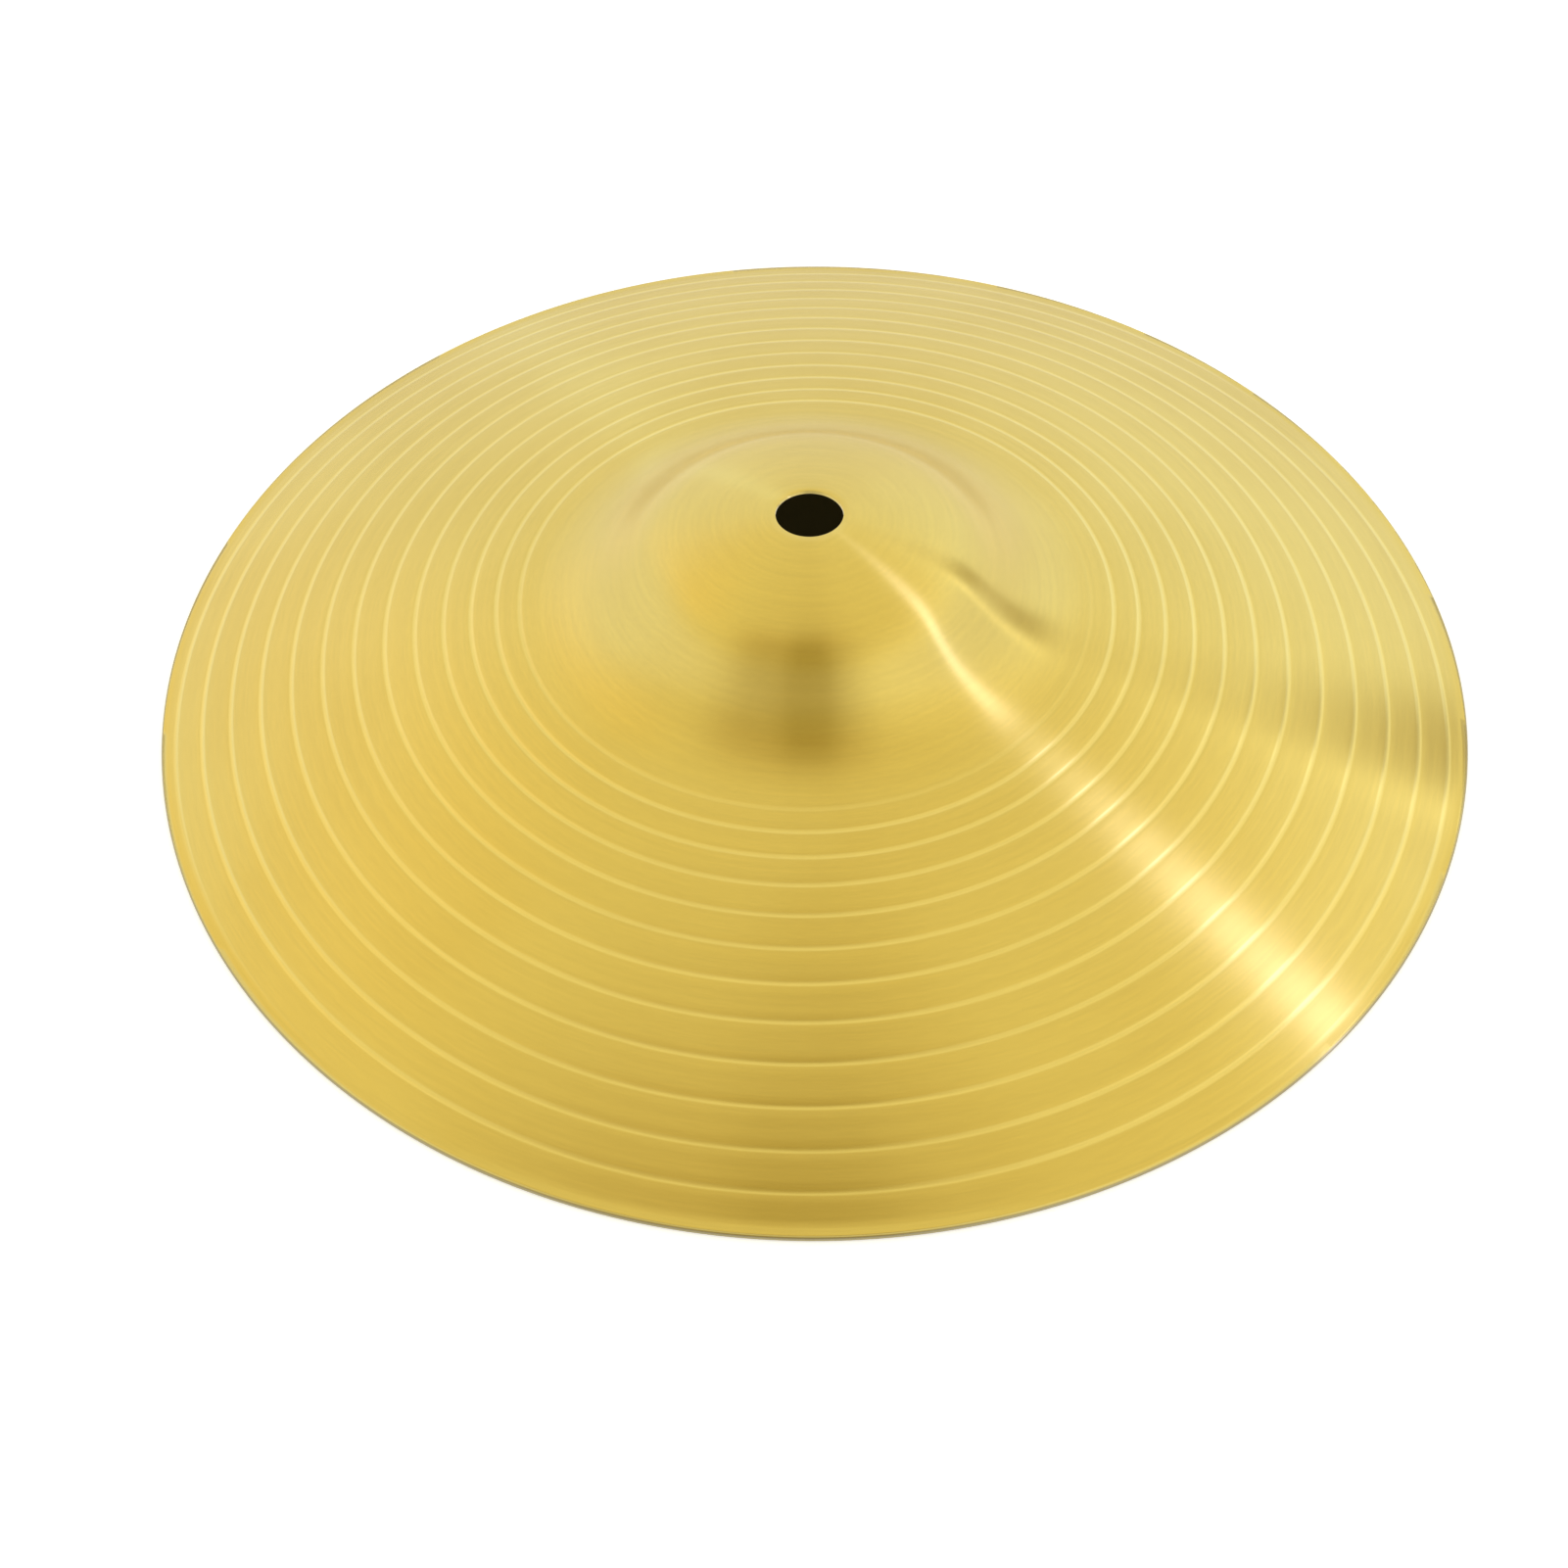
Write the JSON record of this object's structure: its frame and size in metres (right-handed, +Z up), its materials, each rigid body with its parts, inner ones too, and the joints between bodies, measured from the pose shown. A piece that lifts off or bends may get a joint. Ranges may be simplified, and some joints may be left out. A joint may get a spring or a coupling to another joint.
{
  "type": "crash cymbal",
  "caption": "Small bronze-coloured crash cymbal: one thin lathe-turned brass plate with a gentle bow, a domed bell and a round spindle hole.",
  "frame": {"origin": "on the axis of the spindle hole, in the plane that the rim rests on", "axes": "+Z up along the spindle hole, from the hollow side towards the bell's crown; X and Y lie in the rim's plane"},
  "size_m": [0.254, 0.254, 0.0301],
  "materials": {
    "lathed_brass": "fine concentric lathe marks with one shallow spiral tool line, lacquered"
  },
  "bodies": {
    "root": {"cymbal_plate": "lathed_brass"}
  },
  "joints": []
}
